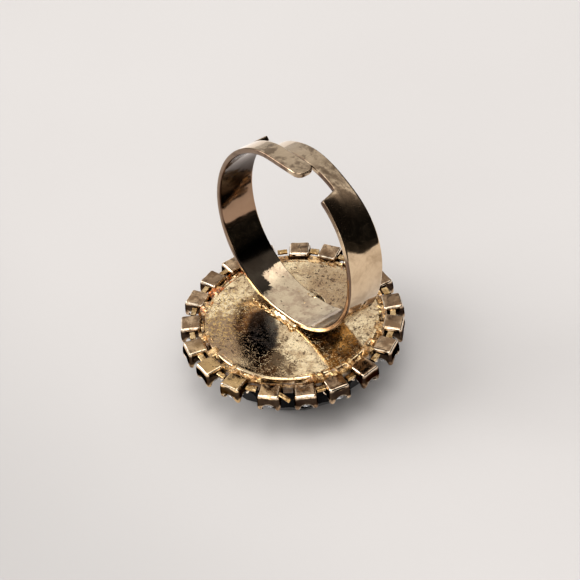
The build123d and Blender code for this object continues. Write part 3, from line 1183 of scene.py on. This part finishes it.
def make_tail(place, material):
    """The cut end of the last link, bent down at the seam."""
    stations = []
    for k in range(13):
        share = k / 12
        run = cup_wide / 2 - 0.15 + 1.1 * share
        middle = Vector((0.35 + 0.3 * share, run, -0.2 - 0.5 * share**1.4))
        ahead = Vector((0.3, 1.1, -0.7 * share**0.4)).normalized()
        up = UP - ahead * ahead.z
        up.normalize()
        across = ahead.cross(up)
        turn = place.to_3x3()
        stations.append((place @ middle, turn @ across, turn @ up))
    points, faces = loft(bar(stations, tail_wide, tail_thick, 0.07))
    return add_piece("cut_tail", points, faces, material, "head", ["link_tail"])


# ---------------------------------------------------------------- build the object

band_material = band_plating()
make_strip(-1, "shank_left", band_material)
right_strip = make_strip(1, "shank_right", band_material)
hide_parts("shank_arm_right", "shank_base")
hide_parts("shank_arm_left")

make_plate(plate_metal())
make_solder(plated(
    "solder_metal", (0.84, 0.70, 0.48), (0.62, 0.45, 0.26), (0.05, 0.03, 0.02),
    shine=0.06, stained=0.7, patch=0.8,
))
make_beads(plated(
    "gilded_solder", (0.72, 0.54, 0.32), (0.36, 0.23, 0.11), (0.04, 0.022, 0.012),
    shine=0.08, stained=0.8, patch=0.4,
))

cup_metal = plated(
    "cup_metal", (0.52, 0.385, 0.255), (0.25, 0.165, 0.10), (0.06, 0.038, 0.025),
    shine=0.05, stained=0.8, patch=1.3, grain=0.3, cups=True,
)
link_metal = plated(
    "link_metal", (0.66, 0.49, 0.28), (0.36, 0.23, 0.10), (0.05, 0.03, 0.018),
    shine=0.10, stained=0.8, patch=0.7,
)
cup_places = []
for number, cup_name in enumerate(cup_names):
    cup_places.append(cup_place(cup_name))
    make_cup(number, cup_name, cup_metal)
make_links(cup_places, link_metal)
make_tail(cup_places[seam_after], link_metal)
make_rim_glue(glue())


def refinish(node, material, edge):
    """Gives a CAD node its material and softened edges."""
    piece = frame["nodes"][node]
    piece.data.materials.clear()
    piece.data.materials.append(material)
    if edge:
        soft = piece.modifiers.new("soft edges", "BEVEL")
        soft.width = edge * MM
        soft.segments = 2
        soft.limit_method = "ANGLE"
        soft.angle_limit = radians(12)


black_glass = glass("black_glass", (0.002, 0.002, 0.0025), 0.0, 0.02, 0.01, 0.03)
crystal_glass = glass("crystal", (0.90, 0.92, 0.95), 0.75, 0.02, 0.1)
refinish("centre_stone", black_glass, 0.03)
refinish("stone_adhesive", glue(), 0.0)
for node_name in frame["nodes"]:
    if node_name.startswith("rhinestone_"):
        refinish(node_name, crystal_glass, 0.012)

# ---------------------------------------------------------------- floor, light, camera


def make_floor():
    """A wide sheet just under the stone."""
    signs = ((-1, -1), (1, -1), (1, 1), (-1, 1))
    corners = [(x * floor_reach, y * floor_reach, 0) for x, y in signs]
    mesh = bpy.data.meshes.new("floor")
    mesh.from_pydata(corners, [], [(0, 1, 2, 3)])
    plane = bpy.data.objects.new("floor", mesh)
    bpy.context.scene.collection.objects.link(plane)
    plane.location.z = -0.00002
    mesh.materials.append(floor_material())


def make_sky():
    """A broad soft light overhead, a window, lamps and a wall in a dark room. The camera itself
    sees a pale backdrop."""
    world = bpy.data.worlds.new("studio")
    world.use_nodes = True
    bpy.context.scene.world = world
    tree = world.node_tree
    tree.nodes.clear()
    way = add(tree, "TexCoord").outputs["Generated"]

    def towards(direction):
        return along(way, Vector(direction).normalized())

    ceiling = step_map(towards(ceiling_direction), 0.465, 0.50)
    lamp = step_map(towards(lamp_direction), 0.93, 0.98, 0.0, 4.0)
    side = step_map(towards(side_direction), 0.80, 0.98, 0.0, 0.9)
    overhead = product(ceiling, maths("ADD", maths("ADD", lamp, side), 0.86))
    wall = maths("ADD", step_map(towards(wall_direction), 0.35, 0.75, 0.0, 0.72), 0.008)
    near_lamp = step_map(towards(near_lamp_direction), 0.90, 0.97, 0.0, 6.0)
    window = step_map(towards(window_direction), 0.80, 0.95, 0.0, 2.2)
    strength = largest(overhead, wall, near_lamp, window)
    lit = add(tree, "Background", {"Color": (*light_colour, 1), "Strength": strength})
    backdrop = add(tree, "Background", {"Color": (*backdrop_colour, 1), "Strength": 1.0})
    seen = add(tree, "LightPath").outputs["Is Camera Ray"]
    blend = add(tree, "MixShader", {0: seen})
    tree.links.new(lit.outputs["Background"], blend.inputs[1])
    tree.links.new(backdrop.outputs["Background"], blend.inputs[2])
    output = add(tree, "OutputWorld")
    tree.links.new(blend.outputs["Shader"], output.inputs["Surface"])


def make_camera():
    """Looks down on the back of the ring from its front right."""
    data = bpy.data.cameras.new("camera")
    camera = bpy.data.objects.new("camera", data)
    bpy.context.scene.collection.objects.link(camera)
    back = Vector(camera_back).normalized()
    right = Vector(camera_right)
    right = (right - back * right.dot(back)).normalized()
    turned = Matrix((right, back.cross(right), back)).transposed().to_4x4()
    turned.translation = Vector(camera_place) * MM
    camera.matrix_world = turned
    data.sensor_width = camera_sensor
    data.lens = camera_lens
    data.clip_start = 0.01
    data.clip_end = 20
    bpy.context.scene.camera = camera


make_floor()
make_sky()
make_camera()
bpy.context.scene.view_settings.view_transform = "Standard"
bpy.context.scene.view_settings.look = "Medium High Contrast"
bpy.context.scene.view_settings.exposure = 0.0
